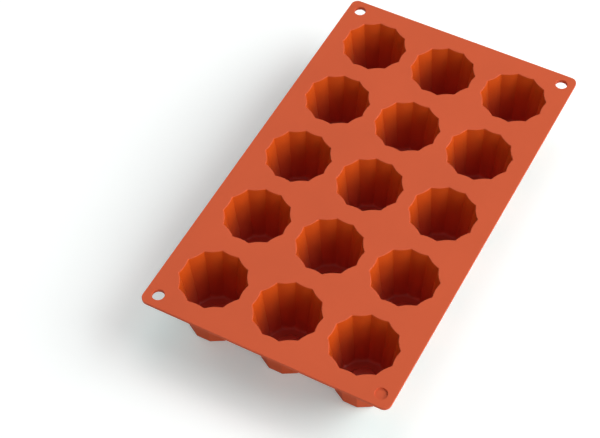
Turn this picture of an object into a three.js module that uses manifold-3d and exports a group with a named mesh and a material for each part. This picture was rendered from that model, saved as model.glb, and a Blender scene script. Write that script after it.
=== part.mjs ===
// Silicone baking mould for small fluted cakes: one flexible sheet that carries a grid of deep fluted cups.
// Millimetres, +Z up. The cups stand on z = 0 and the sheet lies across their mouths. x runs across the
// sheet, y runs along it, and the origin is on the surface below the middle of the sheet.
import * as THREE from 'three';
import { mergeVertices } from 'three/addons/utils/BufferGeometryUtils.js';
import Module from 'manifold-3d';

// The grid of cups. The gaps are the free space between the outsides of two cups at the sheet.
const rowCount = 5;
const columnCount = 3;
const rowGap = 7.75;
const columnGap = 4.1;

// The cavity. Its outline is a star of shallow concave flutes, and its diameters are taken across the points.
const fluteCount = 12;
const mouthDiameter = 45.5;
const mouthFluteDepth = 1.5;
const floorDiameter = 34;
const floorFluteDepth = 1;
const cavityDepth = 43;
const floorFilletRadius = 2.8;

// The low disc in the middle of the cavity's floor, which dents the top of the cake. A slope leads up to it.
const discDiameter = 18;
const discSlopeWidth = 1.5;
const discRise = 1.4;

// The silicone around the cavity. The wall is measured at the points, and is thicker behind the flutes.
const wallThickness = 2;
const floorThickness = 2;
const footRounding = 1.2;
const rootFilletRadius = 1.2;

// The sheet. The margins run from the outsides of the outer cups to the sheet's edges.
const sheetThickness = 3;
const sheetCornerRadius = 5;
const endMargin = 10.75;
const sideMargin = 9.15;

// The holes at the sheet's corners. The one at +x, -y is a shallow blind recess.
const hangHoleDiameter = 8.3;
const hangHoleInset = 9;
const blindRecessDepth = 1.7;

// How finely the curves are faceted.
const stepsPerFlute = 3;
const stepsPerFillet = 2;
const stepsPerSheetCorner = 4;
const hangHoleSides = 24;

const siliconeColour = 0xcd5d3e;
const siliconeRoughness = 0.55;

const mouldHeight = floorThickness + cavityDepth;
const sheetUnderside = mouldHeight - sheetThickness;
const cupDiameter = mouthDiameter + 2 * wallThickness;
const rowPitch = cupDiameter + rowGap;
const columnPitch = cupDiameter + columnGap;
const sheetLength = (rowCount - 1) * rowPitch + cupDiameter + 2 * endMargin;
const sheetWidth = (columnCount - 1) * columnPitch + cupDiameter + 2 * sideMargin;

// A cutter runs this far past the faces that it cuts through.
const cutOverrun = 1;

// The flares at the roots of two cups each take at most one of this many parts of the gap between them.
const gapParts = 3;

const wasm = await Module();
wasm.setup();

function toManifold(geometry) {
  const bare = geometry.clone();
  bare.deleteAttribute('normal');
  bare.deleteAttribute('uv');
  const merged = mergeVertices(bare);
  const vertProperties = new Float32Array(merged.getAttribute('position').array);
  const triVerts = new Uint32Array(merged.getIndex().array);
  return new wasm.Manifold(new wasm.Mesh({ numProp: 3, vertProperties, triVerts }));
}

function toGeometry(manifold) {
  const { vertProperties, triVerts } = manifold.getMesh();
  const geometry = new THREE.BufferGeometry();
  geometry.setAttribute('position', new THREE.BufferAttribute(vertProperties, 3));
  geometry.setIndex(new THREE.BufferAttribute(triVerts, 1));
  geometry.computeVertexNormals();
  return geometry;
}

// One level of the cavity's tapered wall: its radius across the points and its flute depth at height z.
function cavityLevel(z) {
  const share = (z - floorThickness) / cavityDepth;
  return {
    z,
    radius: THREE.MathUtils.lerp(floorDiameter, mouthDiameter, share) / 2,
    fluteDepth: THREE.MathUtils.lerp(floorFluteDepth, mouthFluteDepth, share),
  };
}

// The radius of the cup's outside at height z, one wall further out than the cavity's points.
function outsideRadius(z) {
  return cavityLevel(z).radius + wallThickness;
}

// One level of the outside, where a flat facet stands behind each flute.
function outsideLevel(z, radius) {
  return { z, radius, fluteDepth: radius * (1 - Math.cos(Math.PI / fluteCount)) };
}

// The closed outline of one level: each flute dips inwards between two points, as a parabola.
function outline({ z, radius, fluteDepth }) {
  const fluteAngle = (2 * Math.PI) / fluteCount;
  const points = [];
  for (let i = 0; i < fluteCount * stepsPerFlute; i += 1) {
    const fromMiddle = ((i % stepsPerFlute) * 2) / stepsPerFlute - 1;
    const angle = (i / stepsPerFlute - 0.5) * fluteAngle;
    const reach = radius - fluteDepth * (1 - fromMiddle ** 2);
    points.push(new THREE.Vector3(reach * Math.cos(angle), reach * Math.sin(angle), z));
  }
  return points;
}

// A closed solid through a list of levels, with a fan to the axis at the first and the last.
function loft(levels) {
  const rings = levels.map(outline);
  const count = rings[0].length;
  const vertices = rings.flat();
  const firstCentre = vertices.length;
  const lastCentre = firstCentre + 1;
  const lastRing = firstCentre - count;
  vertices.push(new THREE.Vector3(0, 0, levels.at(0).z));
  vertices.push(new THREE.Vector3(0, 0, levels.at(-1).z));
  const triangles = [];
  for (let i = 0; i < count; i += 1) {
    const next = (i + 1) % count;
    triangles.push(firstCentre, next, i);
    for (let start = 0; start < lastRing; start += count) {
      triangles.push(start + i, start + next, start + count + next);
      triangles.push(start + i, start + count + next, start + count + i);
    }
    triangles.push(lastRing + i, lastRing + next, lastCentre);
  }
  const geometry = new THREE.BufferGeometry().setFromPoints(vertices);
  geometry.setIndex(triangles);
  geometry.computeVertexNormals();
  return geometry;
}

// Angles from 0 to a right angle, for the steps of a rounded edge or a fillet.
function quarterTurn() {
  return Array.from({ length: stepsPerFillet + 1 }, (_, i) => (i / stepsPerFillet) * (Math.PI / 2));
}

// The rounded edge around the cup's flat foot, from the foot up to the wall.
function footLevels() {
  const wallRadius = outsideRadius(footRounding);
  return quarterTurn().map((angle) => {
    const z = footRounding * (1 - Math.cos(angle));
    return outsideLevel(z, wallRadius - footRounding * (1 - Math.sin(angle)));
  });
}

// The flare that joins the cup's outside to the sheet, kept clear of the next cup's flare.
function rootLevels() {
  const reach = Math.min(rootFilletRadius, columnGap / gapParts, rowGap / gapParts);
  const wallEnd = sheetUnderside - reach;
  return [
    outsideLevel(wallEnd, outsideRadius(wallEnd)),
    outsideLevel(sheetUnderside, outsideRadius(sheetUnderside) + reach),
  ];
}

// The rounded corner between the cavity's wall and its floor. The flutes fade out on the way down, so the
// flat ring of floor around the disc is round.
function floorLevels() {
  const wallEnd = cavityLevel(floorThickness + floorFilletRadius);
  return quarterTurn().map((angle) => ({
    z: floorThickness + floorFilletRadius * (1 - Math.sin(angle)),
    radius: wallEnd.radius - floorFilletRadius * (1 - Math.cos(angle)),
    fluteDepth: wallEnd.fluteDepth * Math.cos(angle),
  }));
}

// The slope around the disc, from the floor up to the disc's edge.
function discLevels() {
  const radius = discDiameter / 2;
  return [
    { z: floorThickness, radius: radius + discSlopeWidth, fluteDepth: 0 },
    { z: floorThickness + discRise, radius, fluteDepth: 0 },
  ];
}

// One cup, followed from the middle of its foot up the outside, over its top face and down the cavity.
function makeCup() {
  return loft([
    ...footLevels(),
    ...rootLevels(),
    cavityLevel(sheetUnderside),
    ...floorLevels(),
    ...discLevels(),
  ]);
}

function cupPlaces() {
  const places = [];
  for (let row = 0; row < rowCount; row += 1) {
    for (let column = 0; column < columnCount; column += 1) {
      places.push({
        name: `cup_r${row + 1}_c${column + 1}`,
        x: (column - (columnCount - 1) / 2) * columnPitch,
        y: (row - (rowCount - 1) / 2) * rowPitch,
      });
    }
  }
  return places;
}

function sheetOutline() {
  const x = sheetWidth / 2;
  const y = sheetLength / 2;
  const r = sheetCornerRadius;
  const shape = new THREE.Shape();
  shape.moveTo(x, r - y);
  shape.absarc(x - r, y - r, r, 0, Math.PI / 2);
  shape.absarc(r - x, y - r, r, Math.PI / 2, Math.PI);
  shape.absarc(r - x, r - y, r, Math.PI, 1.5 * Math.PI);
  shape.absarc(x - r, r - y, r, 1.5 * Math.PI, 2 * Math.PI);
  return shape;
}

// A round cutter from height z up past the sheet's top.
function holeCutter(x, y, z) {
  const height = mouldHeight + cutOverrun - z;
  const radius = hangHoleDiameter / 2;
  const cutter = new THREE.CylinderGeometry(radius, radius, height, hangHoleSides);
  cutter.rotateX(Math.PI / 2);
  cutter.translate(x, y, z + height / 2);
  return cutter;
}

function holeCutters() {
  const x = sheetWidth / 2 - hangHoleInset;
  const y = sheetLength / 2 - hangHoleInset;
  const throughSheet = sheetUnderside - cutOverrun;
  return [
    holeCutter(-x, y, throughSheet),
    holeCutter(x, y, throughSheet),
    holeCutter(-x, -y, throughSheet),
    holeCutter(x, -y, mouldHeight - blindRecessDepth),
  ];
}

// The sheet is cut by the same tapered wall as the cups, so the cavities run through it without a step.
function makeSheet() {
  const slab = new THREE.ExtrudeGeometry(sheetOutline(), {
    depth: sheetThickness,
    bevelEnabled: false,
    curveSegments: stepsPerSheetCorner,
  });
  slab.translate(0, 0, sheetUnderside);
  const mouthHeights = [sheetUnderside - cutOverrun, sheetUnderside, mouldHeight, mouldHeight + cutOverrun];
  const mouth = mouthHeights.map(cavityLevel);
  const mouthCutters = cupPlaces().map(({ x, y }) => loft(mouth).translate(x, y, 0));
  const cutters = [...mouthCutters, ...holeCutters()];
  const sheet = cutters.reduce((solid, cutter) => solid.subtract(toManifold(cutter)), toManifold(slab));
  return toGeometry(sheet);
}

function makeSilicone() {
  return new THREE.MeshStandardMaterial({
    color: siliconeColour,
    roughness: siliconeRoughness,
    metalness: 0,
  });
}

const mould = new THREE.Group();

const sheet = new THREE.Mesh(makeSheet(), makeSilicone());
sheet.name = 'top_sheet';
mould.add(sheet);

for (const { name, x, y } of cupPlaces()) {
  const cup = new THREE.Mesh(makeCup(), makeSilicone());
  cup.name = name;
  cup.position.set(x, y, 0);
  mould.add(cup);
}

export default mould;
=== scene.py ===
import math

import bpy
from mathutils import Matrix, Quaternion, Vector


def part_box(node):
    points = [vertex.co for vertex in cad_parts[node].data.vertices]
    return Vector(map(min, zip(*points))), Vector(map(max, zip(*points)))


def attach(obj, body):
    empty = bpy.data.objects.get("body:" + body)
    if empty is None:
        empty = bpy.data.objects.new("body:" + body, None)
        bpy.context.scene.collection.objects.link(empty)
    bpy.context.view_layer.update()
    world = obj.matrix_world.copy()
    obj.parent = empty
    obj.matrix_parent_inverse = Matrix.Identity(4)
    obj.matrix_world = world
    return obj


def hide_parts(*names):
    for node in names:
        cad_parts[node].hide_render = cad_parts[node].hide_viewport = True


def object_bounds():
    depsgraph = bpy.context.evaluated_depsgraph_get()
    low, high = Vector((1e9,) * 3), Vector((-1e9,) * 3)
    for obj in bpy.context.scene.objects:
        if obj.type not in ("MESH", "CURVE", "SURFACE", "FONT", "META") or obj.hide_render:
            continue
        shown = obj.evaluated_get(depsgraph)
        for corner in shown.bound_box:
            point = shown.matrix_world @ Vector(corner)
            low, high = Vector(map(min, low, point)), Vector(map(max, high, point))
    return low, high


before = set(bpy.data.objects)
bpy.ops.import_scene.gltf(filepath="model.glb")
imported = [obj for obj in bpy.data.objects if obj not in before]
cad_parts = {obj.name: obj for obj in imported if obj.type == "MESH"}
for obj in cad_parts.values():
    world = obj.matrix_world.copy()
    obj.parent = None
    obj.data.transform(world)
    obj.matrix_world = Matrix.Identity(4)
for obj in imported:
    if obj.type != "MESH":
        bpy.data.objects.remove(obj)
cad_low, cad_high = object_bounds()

# The fluted cups: fifteen deep tapered wells that shape the cakes. Pigmented silicone rubber is cured
# around polished steel cores, so the cavities shine a little, while the outside is matt. They all come
# from one tool shape, so one cup is modelled in the middle of the mould and copied to the fifteen places.
mm = 0.001
flute_count = 12
steps_per_flute = 10
steps_per_arc = 6
steps_per_point = 3
mouth_radius = 22.75 * mm
flute_depth = 1.5 * mm
facet_share = (1 - math.cos(math.pi / flute_count)) * mouth_radius / flute_depth
point_rounding = 0.5 * mm
floor_radius = 17 * mm
floor_height = 2 * mm
floor_fillet = 2.8 * mm
disc_radius = 9 * mm
disc_slope = 1.5 * mm
disc_rise = 1.4 * mm
wall_thickness = 2 * mm
foot_rounding = 1.2 * mm
root_fillet = 1.2 * mm
touch = 0.01 * mm
level_share = 0.5
mouth_height = cad_high.z
sheet_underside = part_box("top_sheet")[0].z
cup_nodes = sorted(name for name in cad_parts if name.startswith("cup_"))


def select_vertices(test):
    """Selects the vertices of the piece in edit mode whose place passes a test."""
    bpy.ops.mesh.select_mode(type="VERT")
    bpy.ops.mesh.select_all(action="DESELECT")
    bpy.ops.object.mode_set(mode="OBJECT")
    for vertex in bpy.context.object.data.vertices:
        vertex.select = test(vertex.co)
    bpy.ops.object.mode_set(mode="EDIT")


def flute_share(place):
    """0 in the middle of a flute, 1 on the point between two flutes."""
    turn = math.atan2(place.y, place.x) / math.tau * flute_count
    return abs(turn - round(turn)) * 2


def add_fluted_face():
    """Adds the cavity's outline as a flat face: shallow arcs that dip inwards between rounded points."""
    bpy.ops.object.select_all(action="DESELECT")
    sides = flute_count * steps_per_flute
    bpy.ops.mesh.primitive_circle_add(vertices=sides, radius=mouth_radius, fill_type="NGON")
    bpy.ops.object.mode_set(mode="EDIT")
    near = 1 / steps_per_flute
    for step in range(steps_per_flute // 2):
        share = 2 * step / steps_per_flute
        dip = 1 - flute_depth / mouth_radius * (1 - share ** 2)
        select_vertices(lambda place: abs(flute_share(place) - share) < near)
        bpy.ops.transform.resize(value=(dip, dip, 1), center_override=(0, 0, 0))
    select_vertices(lambda place: flute_share(place) > 1 - near)
    bpy.ops.mesh.bevel(offset=point_rounding, segments=steps_per_point, affect="VERTICES")
    bpy.ops.mesh.select_all(action="SELECT")


def place_ring(height, radius):
    """Moves the selected ring to a height and resizes it about the cup's axis, its points to a radius."""
    bpy.ops.object.mode_set(mode="OBJECT")
    ring = [vertex.co for vertex in bpy.context.object.data.vertices if vertex.select]
    scale = radius / max(place.xy.length for place in ring)
    rise = height - ring[0].z
    bpy.ops.object.mode_set(mode="EDIT")
    bpy.ops.transform.translate(value=(0, 0, rise))
    bpy.ops.transform.resize(value=(scale, scale, 1), center_override=(0, 0, 0))


def loft(levels):
    """Extrudes the selected ring through levels of height, radius and what is left of its flutes."""
    height, radius, flutes = levels[0]
    place_ring(height, radius)
    for height, radius, next_flutes in levels[1:]:
        bpy.ops.mesh.extrude_region_move()
        if next_flutes < flutes:
            bpy.ops.transform.tosphere(value=1 - next_flutes / flutes)
        place_ring(height, radius)
        flutes = next_flutes


def face_outwards():
    """Turns all faces of the piece in edit mode outwards, and leaves edit mode."""
    bpy.ops.mesh.select_all(action="SELECT")
    bpy.ops.mesh.normals_make_consistent(inside=False)
    bpy.ops.object.mode_set(mode="OBJECT")


def arc(height, radius, size, start, end, flutes=1, fading=False):
    """Levels on an arc about a centre, between two angles in degrees: 0 points outwards and 90 up."""
    levels = []
    for step in range(steps_per_arc + 1):
        angle = math.radians(start + (end - start) * step / steps_per_arc)
        left = flutes * max(math.cos(angle), 0) if fading else flutes
        levels.append((height + size * math.sin(angle), radius + size * math.cos(angle), left))
    return levels


def wall_radius(height):
    """The cavity's radius across its points at a height of its tapered wall."""
    share = (height - floor_height) / (mouth_height - floor_height)
    return floor_radius + (mouth_radius - floor_radius) * share


def smooth(piece, sharp_angle=40):
    """Shades a piece smooth between its sharp edges, with the flat faces kept flat."""
    bpy.ops.object.select_all(action="DESELECT")
    piece.select_set(True)
    bpy.context.view_layer.objects.active = piece
    bpy.ops.object.shade_smooth_by_angle(angle=math.radians(sharp_angle))
    bpy.ops.object.modifier_add(type="WEIGHTED_NORMAL")
    piece.modifiers[-1].keep_sharp = True
    bpy.ops.object.modifier_apply(modifier=piece.modifiers[-1].name)


def copy_to(piece, centre):
    """Copies a piece, with a mesh of its own, and applies its new place to the mesh."""
    bpy.ops.object.select_all(action="DESELECT")
    piece.select_set(True)
    bpy.context.view_layer.objects.active = piece
    bpy.ops.object.duplicate()
    bpy.ops.transform.translate(value=centre)
    bpy.ops.object.transform_apply(location=True, rotation=False, scale=False)
    return bpy.context.object


def make_silicone(name, colour, low_roughness, high_roughness, grain_height, shine, painted_depth_shade=None):
    """Silicone with faint clouds in its pigment, the tool's fine grain and, if asked, painted shade: a maroon
    tint that grows into the depth.
    """
    material = bpy.data.materials.new(name)
    material.use_nodes = True
    nodes = material.node_tree.nodes
    links = material.node_tree.links
    shader = nodes["Principled BSDF"]
    shader.inputs["IOR"].default_value = silicone_ior
    shader.inputs["Specular IOR Level"].default_value = shine
    place = nodes.new("ShaderNodeTexCoord")

    # Faint clouds in the pigment.
    clouds = nodes.new("ShaderNodeTexNoise")
    clouds.inputs["Scale"].default_value = cloud_scale
    clouds.inputs["Detail"].default_value = 4
    pigment = nodes.new("ShaderNodeValToRGB")
    pigment.color_ramp.elements[0].position = 0.3
    pigment.color_ramp.elements[0].color = [(1 - pigment_spread) * part for part in colour] + [1]
    pigment.color_ramp.elements[1].position = 0.7
    pigment.color_ramp.elements[1].color = [(1 + pigment_spread) * part for part in colour] + [1]
    links.new(place.outputs["Object"], clouds.inputs["Vector"])
    links.new(clouds.outputs["Fac"], pigment.inputs["Fac"])
    links.new(pigment.outputs["Color"], shader.inputs["Base Color"])

    # The painted shade: a maroon tint that stands for the shade in the deep cups and grows from the mouth
    # down to the floor.
    if painted_depth_shade:
        height = nodes.new("ShaderNodeSeparateXYZ")
        links.new(place.outputs["Object"], height.inputs["Vector"])
        depth = nodes.new("ShaderNodeMapRange")
        depth.inputs["From Min"].default_value = mouth_height
        depth.inputs["From Max"].default_value = floor_height
        links.new(height.outputs["Z"], depth.inputs["Value"])
        growth = nodes.new("ShaderNodeMath")
        growth.operation = "POWER"
        growth.inputs[1].default_value = painted_shade_growth
        links.new(depth.outputs["Result"], growth.inputs[0])
        painted_shade_tint = nodes.new("ShaderNodeMix")
        painted_shade_tint.data_type = "RGBA"
        painted_shade_tint.inputs["B"].default_value = painted_depth_shade
        links.new(growth.outputs["Value"], painted_shade_tint.inputs["Factor"])
        links.new(pigment.outputs["Color"], painted_shade_tint.inputs["A"])
        links.new(painted_shade_tint.outputs["Result"], shader.inputs["Base Color"])

    # The tool's grain, in the gloss and in the relief.
    grain = nodes.new("ShaderNodeTexNoise")
    grain.inputs["Scale"].default_value = grain_scale
    grain.inputs["Detail"].default_value = 2
    links.new(place.outputs["Object"], grain.inputs["Vector"])
    gloss = nodes.new("ShaderNodeMapRange")
    gloss.inputs["To Min"].default_value = low_roughness
    gloss.inputs["To Max"].default_value = high_roughness
    links.new(grain.outputs["Fac"], gloss.inputs["Value"])
    links.new(gloss.outputs["Result"], shader.inputs["Roughness"])
    relief = nodes.new("ShaderNodeBump")
    relief.inputs["Strength"].default_value = 0.5
    relief.inputs["Distance"].default_value = grain_height
    links.new(grain.outputs["Fac"], relief.inputs["Height"])
    links.new(relief.outputs["Normal"], shader.inputs["Normal"])
    return material


silicone_ior = 1.45
cloud_scale = 22
pigment_spread = 0.03
painted_shade_growth = 2.3
grain_scale = 1400
orange = (0.592, 0.0915, 0.0292)
cavity_orange = (0.58, 0.0785, 0.0075)
# The cavities' deep colour is painted shade: the depths of the cups get a maroon tint for the shade that
# falls there.
cavity_painted_shade = (0.585, 0.082, 0.055, 1)
matt_silicone = make_silicone(
    "matt_silicone",
    orange,
    low_roughness=0.62,
    high_roughness=0.74,
    grain_height=0.03 * mm,
    shine=0.2,
)
polished_silicone = make_silicone(
    "polished_silicone",
    cavity_orange,
    low_roughness=0.26,
    high_roughness=0.36,
    grain_height=0.008 * mm,
    shine=0.5,
    painted_depth_shade=cavity_painted_shade,
)

foot_radius = wall_radius(foot_rounding) + wall_thickness - foot_rounding
root_height = sheet_underside - root_fillet
root_radius = wall_radius(root_height) + wall_thickness + root_fillet
fillet_height = floor_height + floor_fillet
fillet_radius = wall_radius(fillet_height) - floor_fillet
rim_level = (sheet_underside, wall_radius(sheet_underside), 1)
cavity_levels = [rim_level]
cavity_levels += arc(fillet_height, fillet_radius, floor_fillet, 0, -90, fading=True)
for step in range(steps_per_arc + 1):
    share = step / steps_per_arc
    slope_height = floor_height + disc_rise * (1 - math.cos(math.pi * share)) / 2
    cavity_levels.append((slope_height, disc_radius + disc_slope * (1 - share), 0))
outside_levels = [rim_level]
outside_levels += arc(root_height, root_radius, root_fillet, 90, 180, facet_share)
outside_levels += arc(foot_rounding, foot_radius, foot_rounding, 0, -90, facet_share)

add_fluted_face()
loft(cavity_levels)
select_vertices(lambda place: place.z > sheet_underside - touch)
loft(outside_levels)
bpy.ops.mesh.edge_face_add()
face_outwards()
pattern_cup = bpy.context.object
pattern_cup.data.materials.append(matt_silicone)
pattern_cup.data.materials.append(polished_silicone)
for face in pattern_cup.data.polygons:
    faces_axis = face.normal.xy.dot(face.center.xy) < 0
    face.material_index = 1 if faces_axis or face.normal.z > level_share else 0
smooth(pattern_cup)

cup_centres = []
for node in cup_nodes:
    low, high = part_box(node)
    centre = Vector(((low.x + high.x) / 2, (low.y + high.y) / 2, 0))
    cup_centres.append(centre)
    cup = copy_to(pattern_cup, centre)
    cup.name = cup.data.name = "silicone_" + node
    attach(cup, "root")
    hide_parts(node)
bpy.data.objects.remove(pattern_cup)

# The top sheet: the flat satin web that carries the cups, of the same silicone, cured with them in one shot.
# Its lower edge and the rims of the mouths are rounded, three corners have a round hole to hang the mould
# by, and the fourth has a shallow round recess that doesn't go through.
sheet_corner = 5 * mm
steps_per_corner = 12
steps_per_edge = 5
top_edge_rounding = 0.15 * mm
lower_edge_rounding = 1.2 * mm
mouth_rim_rounding = 0.6 * mm
hole_rim_rounding = 0.15 * mm
rim_end_angle = 100
hole_radius = 4.15 * mm
hole_inset = 9 * mm
hole_sides = 64
recess_depth = 1.1 * mm
recess_fillet = 0.3 * mm
cut_overrun = 1 * mm
sheet_low, sheet_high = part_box("top_sheet")
sheet_size = sheet_high - sheet_low


def rim(radius, rounding, face_height, way_out):
    """Levels of a cutter that widens to leave a rounded rim where it comes out of a face of the sheet."""
    levels = arc(-rounding, radius + rounding, rounding, 180, rim_end_angle)
    height, radius, flutes = levels[-1]
    step_out = rounding / 2
    step_up = step_out * math.tan(math.radians(rim_end_angle - 90))
    levels.append((height + step_up, radius + step_out, flutes))
    levels.append((cut_overrun, radius + step_out, flutes))
    levels = [(face_height + way_out * rise, width, left) for rise, width, left in levels]
    return levels if way_out > 0 else levels[::-1]


def round_edges(test, rounding):
    """Rounds the edges of the piece in edit mode whose two ends pass a test."""
    select_vertices(test)
    bpy.ops.mesh.select_mode(type="EDGE")
    bpy.ops.mesh.bevel(offset=rounding, segments=steps_per_edge, affect="EDGES")


def add_round_face():
    """Adds the outline of a corner hole as a flat face."""
    bpy.ops.object.select_all(action="DESELECT")
    bpy.ops.mesh.primitive_circle_add(vertices=hole_sides, radius=hole_radius, fill_type="NGON")
    bpy.ops.object.mode_set(mode="EDIT")


bpy.ops.object.select_all(action="DESELECT")
bpy.ops.mesh.primitive_plane_add(size=1)
sheet = bpy.context.object
sheet.name = sheet.data.name = "silicone_sheet"
bpy.ops.object.mode_set(mode="EDIT")
bpy.ops.transform.resize(value=(sheet_size.x, sheet_size.y, 1), center_override=(0, 0, 0))
bpy.ops.transform.translate(value=(0, 0, sheet_low.z))
bpy.ops.mesh.bevel(offset=sheet_corner, segments=steps_per_corner, affect="VERTICES")
bpy.ops.mesh.select_all(action="SELECT")
bpy.ops.mesh.extrude_region_move(TRANSFORM_OT_translate={"value": (0, 0, sheet_size.z)})
bpy.ops.mesh.select_all(action="SELECT")
bpy.ops.mesh.normals_make_consistent(inside=False)
round_edges(lambda place: place.z > sheet_high.z - touch, top_edge_rounding)
round_edges(lambda place: place.z < sheet_low.z + touch, lower_edge_rounding)
bpy.ops.object.mode_set(mode="OBJECT")

cut_start = sheet_low.z - cut_overrun
mouth_levels = [(cut_start, wall_radius(cut_start), 1)]
rim_start = wall_radius(sheet_high.z - mouth_rim_rounding)
mouth_levels += rim(rim_start, mouth_rim_rounding, sheet_high.z, 1)
hole_levels = rim(hole_radius, hole_rim_rounding, sheet_low.z, -1)
hole_levels += rim(hole_radius, hole_rim_rounding, sheet_high.z, 1)
recess_floor = sheet_high.z - recess_depth
recess_levels = arc(recess_floor + recess_fillet, hole_radius - recess_fillet, recess_fillet, -90, 0)
recess_levels += rim(hole_radius, hole_rim_rounding, sheet_high.z, 1)
hole_x = sheet_high.x - hole_inset
hole_y = sheet_high.y - hole_inset

add_fluted_face()
loft(mouth_levels)
face_outwards()
pattern_mouth = bpy.context.object
add_round_face()
loft(hole_levels)
face_outwards()
pattern_hole = bpy.context.object
add_round_face()
loft(recess_levels)
face_outwards()
pattern_recess = bpy.context.object
cutters = [copy_to(pattern_mouth, centre) for centre in cup_centres]
for centre in [(-hole_x, hole_y, 0), (hole_x, hole_y, 0), (-hole_x, -hole_y, 0)]:
    cutters.append(copy_to(pattern_hole, centre))
cutters.append(copy_to(pattern_recess, (hole_x, -hole_y, 0)))
for pattern in (pattern_mouth, pattern_hole, pattern_recess):
    bpy.data.objects.remove(pattern)
bpy.ops.object.select_all(action="DESELECT")
for cutter in cutters:
    cutter.select_set(True)
bpy.context.view_layer.objects.active = cutters[0]
bpy.ops.object.join()
cutter = bpy.context.object

bpy.ops.object.select_all(action="DESELECT")
sheet.select_set(True)
bpy.context.view_layer.objects.active = sheet
bpy.ops.object.modifier_add(type="BOOLEAN")
sheet.modifiers[-1].operation = "DIFFERENCE"
sheet.modifiers[-1].solver = "EXACT"
sheet.modifiers[-1].object = cutter
bpy.ops.object.modifier_apply(modifier=sheet.modifiers[-1].name)
bpy.data.objects.remove(cutter)

satin_silicone = make_silicone(
    "satin_silicone",
    orange,
    low_roughness=0.58,
    high_roughness=0.68,
    grain_height=0.02 * mm,
    shine=0.3,
)
sheet.data.materials.clear()
sheet.data.materials.append(satin_silicone)
sheet.data.materials.append(polished_silicone)
for face in sheet.data.polygons:
    in_mouth = any((face.center.xy - centre.xy).length < mouth_radius for centre in cup_centres)
    face.material_index = 1 if in_mouth and abs(face.normal.z) < level_share else 0
smooth(sheet)
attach(sheet, "root")
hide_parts("top_sheet")

# The stage: a plain pale floor, set just below the cups' feet so that no two faces coincide. Its paint is
# cooler close to the mould, against the red light that the silicone throws there, and light bounces off it
# as off grey. The camera and gloss see it lifted to white, and it keeps the mould's soft shadow.
floor_size = 14
floor_gap = 0.1 * mm
floor_colour = (0.97, 1, 0.99, 1)
cool_colour = (0.78, 1, 0.99, 1)
cool_reach = 50 * mm
bounce_colour = (0.5, 0.5, 0.5, 1)
floor_lift = 0.175
cup_foot = Vector((foot_radius, foot_radius, 0))


def add_seen_rays(tree, gloss_fade=None):
    """Adds nodes that give 1 on rays that see the surroundings, by eye, gloss or glass, and 0 on light."""
    ray = tree.nodes.new("ShaderNodeLightPath")
    gloss = tree.nodes.new("ShaderNodeMath")
    gloss.operation = "MAXIMUM"
    tree.links.new(ray.outputs["Is Glossy Ray"], gloss.inputs[0])
    tree.links.new(ray.outputs["Is Transmission Ray"], gloss.inputs[1])
    if gloss_fade:
        faded = tree.nodes.new("ShaderNodeMath")
        faded.operation = "MULTIPLY"
        tree.links.new(gloss.outputs["Value"], faded.inputs[0])
        tree.links.new(gloss_fade, faded.inputs[1])
        gloss = faded
    seen = tree.nodes.new("ShaderNodeMath")
    seen.operation = "MAXIMUM"
    tree.links.new(ray.outputs["Is Camera Ray"], seen.inputs[0])
    tree.links.new(gloss.outputs["Value"], seen.inputs[1])
    return seen.outputs["Value"]


bpy.ops.object.select_all(action="DESELECT")
bpy.ops.mesh.primitive_plane_add(size=floor_size, location=(0, 0, cad_low.z - floor_gap))
floor = bpy.context.object
floor.name = floor.data.name = "studio_floor"
floor_paint = bpy.data.materials.new("pale_floor")
floor_paint.use_nodes = True
nodes = floor_paint.node_tree.nodes
links = floor_paint.node_tree.links
shader = nodes["Principled BSDF"]
shader.inputs["Roughness"].default_value = 0.9
shader.inputs["Specular IOR Level"].default_value = 0
shader.inputs["Emission Color"].default_value = (1, 1, 1, 1)

# How far a point of the floor lies outside the feet of the outermost cups, and the paint there.
place = nodes.new("ShaderNodeTexCoord")
side = nodes.new("ShaderNodeVectorMath")
side.operation = "ABSOLUTE"
links.new(place.outputs["Object"], side.inputs[0])
beyond = nodes.new("ShaderNodeVectorMath")
beyond.operation = "SUBTRACT"
beyond.inputs[1].default_value = max(cup_centres, key=lambda centre: centre.x + centre.y) + cup_foot
links.new(side.outputs["Vector"], beyond.inputs[0])
outside = nodes.new("ShaderNodeVectorMath")
outside.operation = "MAXIMUM"
links.new(beyond.outputs["Vector"], outside.inputs[0])
distance = nodes.new("ShaderNodeVectorMath")
distance.operation = "LENGTH"
links.new(outside.outputs["Vector"], distance.inputs[0])
fade = nodes.new("ShaderNodeMapRange")
fade.interpolation_type = "SMOOTHSTEP"
fade.inputs["From Max"].default_value = cool_reach
links.new(distance.outputs["Value"], fade.inputs["Value"])
paint = nodes.new("ShaderNodeMix")
paint.data_type = "RGBA"
paint.inputs["A"].default_value = cool_colour
paint.inputs["B"].default_value = floor_colour
links.new(fade.outputs["Result"], paint.inputs["Factor"])

# The paint and the lift that are seen, and the grey that light bounces off.
seen_rays = add_seen_rays(floor_paint.node_tree)
seen_paint = nodes.new("ShaderNodeMix")
seen_paint.data_type = "RGBA"
seen_paint.inputs["A"].default_value = bounce_colour
links.new(paint.outputs["Result"], seen_paint.inputs["B"])
links.new(seen_rays, seen_paint.inputs["Factor"])
links.new(seen_paint.outputs["Result"], shader.inputs["Base Color"])
lift = nodes.new("ShaderNodeMath")
lift.operation = "MULTIPLY"
lift.inputs[1].default_value = floor_lift
links.new(seen_rays, lift.inputs[0])
links.new(lift.outputs["Value"], shader.inputs["Emission Strength"])
floor.data.materials.append(floor_paint)

# Studio light: a large soft box stands on the right, so the cups' left walls are lit and the soft shadow
# falls to the left. A small one high at the back puts a sheen on the sheet, and weak ones fill the left and,
# twice, the front. The camera sees the surrounding white, and gloss sees it white up to the dark ceiling.
surrounding_light = 0.174
ceiling_start = 0.5
ceiling_end = 0.8
box_distance = 3


def aim(thing, target, roll=0):
    """Turns a light or a camera so that it looks at a point."""
    look = (target - thing.location).to_track_quat("-Z", "Y")
    thing.rotation_euler = (look @ Quaternion((0, 0, 1), roll)).to_euler()


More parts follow.
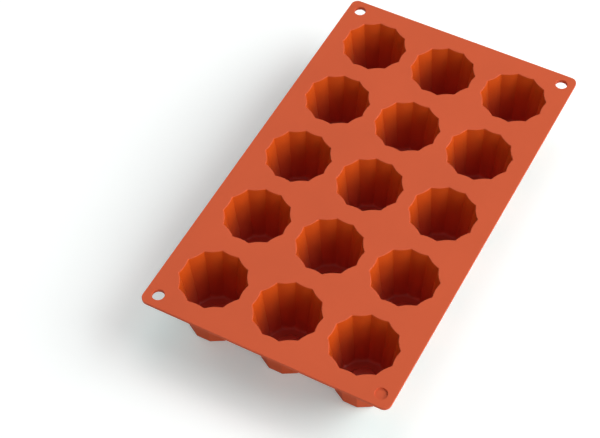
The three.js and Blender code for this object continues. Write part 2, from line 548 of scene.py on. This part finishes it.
def add_soft_box(name, azimuth, elevation, width, height, energy):
    """Adds a soft box that faces the mould from a direction in degrees: 0 is the right and 90 the back."""
    turn = math.radians(azimuth)
    rise = math.radians(elevation)
    level = box_distance * math.cos(rise)
    place = Vector((level * math.cos(turn), level * math.sin(turn), box_distance * math.sin(rise)))
    bpy.ops.object.select_all(action="DESELECT")
    bpy.ops.object.light_add(type="AREA", location=place)
    box = bpy.context.object
    box.name = name
    box.data.shape = "RECTANGLE"
    box.data.size = width
    box.data.size_y = height
    box.data.energy = energy
    aim(box, Vector((0, 0, 0)))


world = bpy.data.worlds.new("pale_surrounding")
world.use_nodes = True
bpy.context.scene.world = world
nodes = world.node_tree.nodes
links = world.node_tree.links
direction = nodes.new("ShaderNodeTexCoord")
height = nodes.new("ShaderNodeSeparateXYZ")
links.new(direction.outputs["Generated"], height.inputs["Vector"])
ceiling = nodes.new("ShaderNodeMapRange")
ceiling.inputs["From Min"].default_value = ceiling_start
ceiling.inputs["From Max"].default_value = ceiling_end
ceiling.inputs["To Min"].default_value = 1
ceiling.inputs["To Max"].default_value = 0
links.new(height.outputs["Z"], ceiling.inputs["Value"])
strength = nodes.new("ShaderNodeMapRange")
strength.inputs["To Min"].default_value = surrounding_light
strength.inputs["To Max"].default_value = 1
links.new(add_seen_rays(world.node_tree, ceiling.outputs["Result"]), strength.inputs["Value"])
links.new(strength.outputs["Result"], nodes["Background"].inputs["Strength"])
nodes["Background"].inputs["Color"].default_value = (1, 1, 1, 1)

add_soft_box("right_box", azimuth=28, elevation=30, width=2.9, height=3.2, energy=116.8)
add_soft_box("back_box", azimuth=111, elevation=63, width=1.4, height=1.1, energy=12)
add_soft_box("left_box", azimuth=170, elevation=45, width=2, height=2, energy=14.6)
add_soft_box("front_box", azimuth=326, elevation=22, width=2.9, height=1.3, energy=27.4)
add_soft_box("low_front_box", azimuth=300, elevation=10, width=2.5, height=0.8, energy=12.4)

# The camera stands in front of the near short side, to the right, and looks down into the cups.
camera_above_sheet = 820.08 * mm
camera_place = Vector((283.04 * mm, -594.10 * mm, cad_high.z + camera_above_sheet))
camera_target = Vector((-27.34 * mm, -46.86 * mm, cad_high.z))
camera_roll = math.radians(1.748)
bpy.ops.object.camera_add(location=camera_place)
camera = bpy.context.object
camera.data.lens = 94.93
camera.data.sensor_width = 36
aim(camera, camera_target, -camera_roll)
bpy.context.scene.camera = camera
bpy.context.scene.view_settings.view_transform = "Standard"
